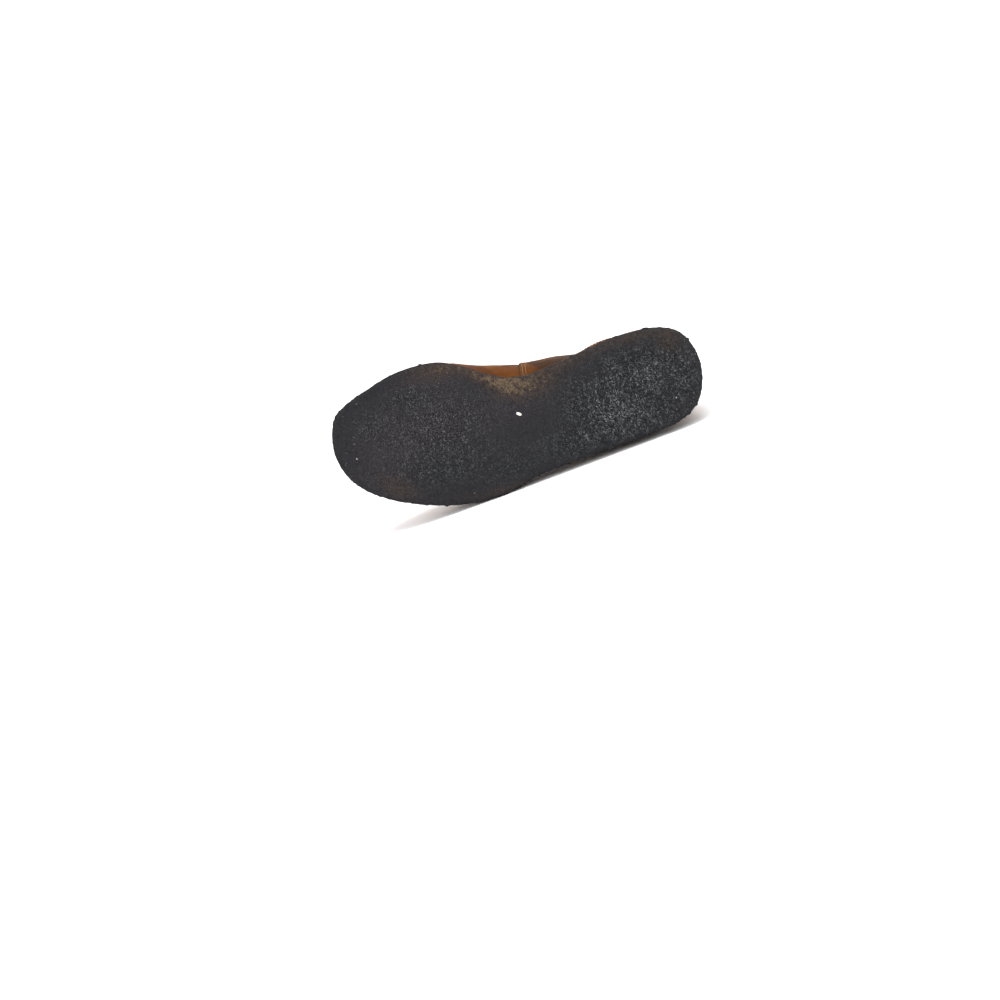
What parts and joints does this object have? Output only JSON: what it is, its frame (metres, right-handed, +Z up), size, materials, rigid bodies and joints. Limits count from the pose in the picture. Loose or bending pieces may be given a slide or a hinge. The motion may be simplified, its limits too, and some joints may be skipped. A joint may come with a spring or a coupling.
{
  "type": "chukka boot",
  "caption": "Right ankle-high chukka boot with a smooth leather upper, a short laced throat and a thick worn crepe wedge sole, lying on its outer side.",
  "frame": {"origin": "centre of the bounding box in plan, on the floor that the boot lies on", "axes": "+Z up from the floor through the medial side of the boot, the toe towards -X, the underside of the sole towards -Y"},
  "size_m": [0.298, 0.1458, 0.1208],
  "materials": {
    "crepe": "matt, worn and dirty",
    "insole": "smooth, dry",
    "leather": "waxed, soft sheen",
    "tongue_leather": "waxed, soft sheen",
    "lace": "waxed round cord"
  },
  "bodies": {
    "root": {"outsole": "crepe", "insole": "insole", "upper": "leather", "tongue": "tongue_leather", "lace": "lace"}
  },
  "joints": []
}
